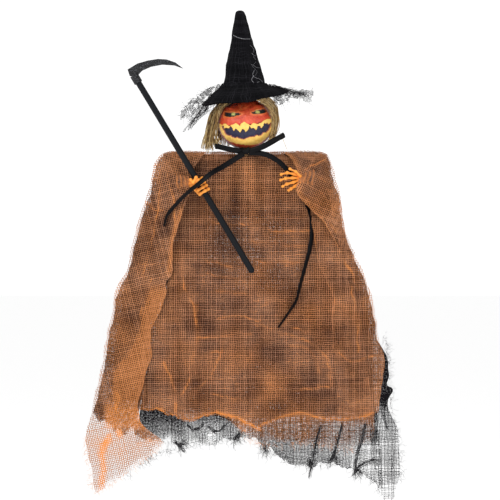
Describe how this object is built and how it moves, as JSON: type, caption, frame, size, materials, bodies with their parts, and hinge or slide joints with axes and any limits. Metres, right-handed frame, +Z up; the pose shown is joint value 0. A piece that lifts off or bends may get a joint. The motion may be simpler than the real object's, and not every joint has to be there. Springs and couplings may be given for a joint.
{
  "type": "hanging scarecrow figure",
  "caption": "Hanging pumpkin-headed scarecrow figure with a witch hat, gauze robe, jointed arms with skeleton hands, and a scythe.",
  "frame": {"origin": "centre of the hole in the hanger plate at the back of the neck, level with the shoulder bar", "axes": "+Z up, -Y towards the front (the face), +X towards the viewer's right"},
  "size_m": [0.584, 0.1835, 0.9097],
  "materials": {
    "wood": "plain sanded",
    "steel": "zinc plated",
    "wire": "matte black",
    "orange_gauze": "open-weave dyed gauze",
    "black_gauze": "open-weave dyed gauze",
    "black_felt": "stiff felt",
    "pumpkin_paint": "hand-painted foam",
    "raffia": "dry raffia",
    "black_ribbon": "satin",
    "orange_plastic": "moulded",
    "black_plastic": "moulded",
    "glitter_plastic": "glitter coated"
  },
  "bodies": {
    "robe": {"neck_block": "wood", "hanger_plate": "steel", "hanger_screw_left": "steel", "hanger_screw_right": "steel", "neck_rod": "steel", "shoulder_bar": "wood", "pivot_bolt_left": "steel", "pivot_bolt_right": "steel", "pivot_cap_left": "steel", "pivot_cap_right": "steel", "robe_front": "orange_gauze", "robe_front_lining": "black_gauze", "robe_wing_left": "orange_gauze", "robe_wing_left_lining": "black_gauze", "robe_wing_right": "orange_gauze", "robe_wing_right_lining": "black_gauze", "robe_back": "orange_gauze", "robe_back_lining": "black_gauze", "shoulder_wrap_left": "orange_gauze", "shoulder_wrap_right": "orange_gauze", "ribbon_knot": "black_ribbon", "ribbon_neck_ring": "black_ribbon", "bow_loop_left": "black_ribbon", "bow_loop_right": "black_ribbon", "ribbon_tail_left": "black_ribbon", "ribbon_tail_right": "black_ribbon", "ribbon_tail_right_end": "black_ribbon"},
    "head": {"pumpkin_head": "pumpkin_paint", "hat_brim": "black_felt", "hat_cone": "black_felt", "hat_band": "black_gauze", "hat_gauze": "black_gauze", "hair_left": "raffia", "hair_right": "raffia", "hair_back": "raffia", "hair_fringe": "raffia"},
    "arm_left": {"arm_left": "wire", "wrist_gather_left": "orange_gauze", "sleeve_left": "orange_gauze", "ribbon_tail_left_end": "black_ribbon"},
    "arm_right": {"arm_right": "wire", "wrist_gather_right": "orange_gauze", "sleeve_right": "orange_gauze"},
    "hand_left": {"hand_left": "orange_plastic"},
    "hand_right": {"hand_right": "orange_plastic"},
    "scythe": {"scythe_handle_upper": "black_plastic", "scythe_handle_lower": "black_plastic", "scythe_blade": "glitter_plastic"}
  },
  "joints": [
    {"name": "neck_turn", "type": "hinge", "parent": "robe", "child": "head", "pos_m": [0, -0.012, 0.03], "axis": [0, 0, 1], "range_deg": [-20, 20]},
    {"name": "arm_left_swing", "type": "hinge", "parent": "robe", "child": "arm_left", "pos_m": [-0.14, -0.012, -0.012], "axis": [0, 0, 1], "range_deg": [-60, 0]},
    {"name": "arm_right_swing", "type": "hinge", "parent": "robe", "child": "arm_right", "pos_m": [0.14, -0.012, -0.012], "axis": [0, 0, 1], "range_deg": [0, 60]},
    {"name": "wrist_left_turn", "type": "hinge", "parent": "arm_left", "child": "hand_left", "pos_m": [-0.1, -0.07, -0.048], "axis": [1, 0, 0], "range_deg": [-20, 0]},
    {"name": "wrist_right_turn", "type": "hinge", "parent": "arm_right", "child": "hand_right", "pos_m": [0.1, -0.07, -0.042], "axis": [1, 0, 0], "range_deg": [-40, 40]},
    {"name": "scythe_slide", "type": "slide", "parent": "hand_left", "child": "scythe", "axis": [0.5158, 0, -0.8567], "range_m": [-0.04, 0.04]}
  ]
}
